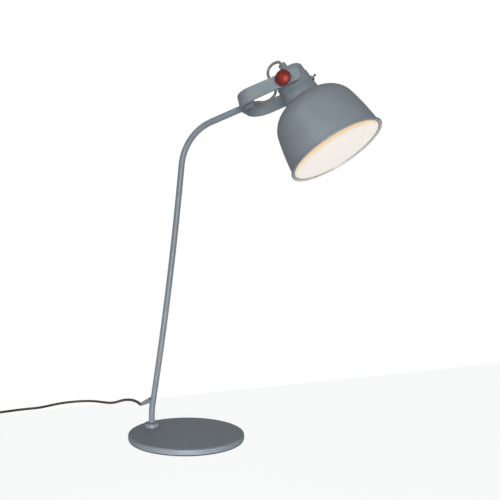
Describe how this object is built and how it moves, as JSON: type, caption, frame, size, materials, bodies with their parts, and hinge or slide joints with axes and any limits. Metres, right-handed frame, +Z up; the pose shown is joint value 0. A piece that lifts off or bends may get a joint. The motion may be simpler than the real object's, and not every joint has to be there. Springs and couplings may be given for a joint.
{
  "type": "desk lamp",
  "caption": "Desk lamp with a round base, a bent tube stem and a bell shade that tilts in a strap yoke clamped by two domed knobs.",
  "frame": {"origin": "centre of the base's underside, on the table", "axes": "+Z up, +X from the stem's foot towards the head, +Y across the lamp"},
  "size_m": [0.8054, 0.2111, 0.5595],
  "materials": {
    "base_paint": "satin grey lacquer on steel",
    "grey_paint": "satin blue-grey lacquer",
    "shade_paint": "satin blue-grey lacquer outside, white inside",
    "pad_rubber": "thin black foam rubber",
    "zinc_steel": "zinc-plated steel",
    "grey_plastic": "moulded grey plastic",
    "black_plastic": "moulded black plastic",
    "white_ceramic": "glazed ceramic",
    "brass": "pressed brass",
    "nickel": "nickel plate",
    "milk_glass": "milk glass",
    "diffuser_acrylic": "opal acrylic",
    "red_lacquer": "dark red metallic lacquer",
    "lead_sheath": "grey-brown braided sheath",
    "cord_pvc": "dark brown cord sheath",
    "plug_pvc": "moulded dark plug"
  },
  "bodies": {
    "stand": {"base_plate": "base_paint", "base_pad": "pad_rubber", "stem_collar": "grey_paint", "stem_tube": "grey_paint", "yoke_strap": "grey_paint", "stem_stud": "zinc_steel", "stud_washer": "zinc_steel", "stud_nut": "zinc_steel", "arm_nipple": "zinc_steel", "tooth_washer": "zinc_steel", "sleeve_nut": "grey_paint", "cord_gland": "grey_plastic", "stem_cable": "lead_sheath", "head_lead": "lead_sheath", "near_friction_washer": "grey_plastic", "far_friction_washer": "grey_plastic", "near_spring_washer": "zinc_steel", "far_spring_washer": "zinc_steel", "mains_cord": "cord_pvc", "cord_coil": "cord_pvc", "cord_end": "cord_pvc", "cord_tie": "black_plastic", "plug_body": "plug_pvc", "plug_relief": "plug_pvc", "plug_pins": "nickel"},
    "head": {"housing": "grey_paint", "housing_cap": "grey_paint", "neck_collar": "grey_paint", "shade": "shade_paint", "diffuser": "diffuser_acrylic", "diffuser_ring": "zinc_steel", "holder_barrel": "black_plastic", "holder_core": "white_ceramic", "holder_shell": "brass", "holder_dome": "black_plastic", "shade_ring": "black_plastic", "bulb_cap": "nickel", "bulb_globe": "milk_glass", "holder_nipple": "zinc_steel", "cable_grip": "grey_plastic", "grip_screw": "zinc_steel", "holder_wires": "lead_sheath", "switch_body": "black_plastic", "switch_bush": "nickel", "switch_nut": "nickel", "lever_pin": "zinc_steel"},
    "near_clamp": {"near_knob": "red_lacquer", "near_knob_stud": "zinc_steel"},
    "far_clamp": {"far_knob": "red_lacquer", "far_knob_stud": "zinc_steel"},
    "toggle": {"switch_lever": "nickel"}
  },
  "joints": [
    {"name": "head_tilt", "type": "hinge", "parent": "stand", "child": "head", "pos_m": [0.17485, 0, 0.52001], "axis": [0, 1, 0], "range_deg": [-45, 35], "deforming": ["head_lead"]},
    {"name": "near_knob_turn", "type": "hinge", "parent": "head", "child": "near_clamp", "pos_m": [0.17485, 0, 0.52001], "axis": [0, -1, 0], "range_deg": [0, 180]},
    {"name": "far_knob_turn", "type": "hinge", "parent": "head", "child": "far_clamp", "pos_m": [0.17485, 0, 0.52001], "axis": [0, 1, 0], "range_deg": [0, 180]},
    {"name": "switch_toggle", "type": "hinge", "parent": "head", "child": "toggle", "pos_m": [0.20179, 0, 0.52598], "axis": [0, 1, 0], "range_deg": [0, 28]}
  ]
}
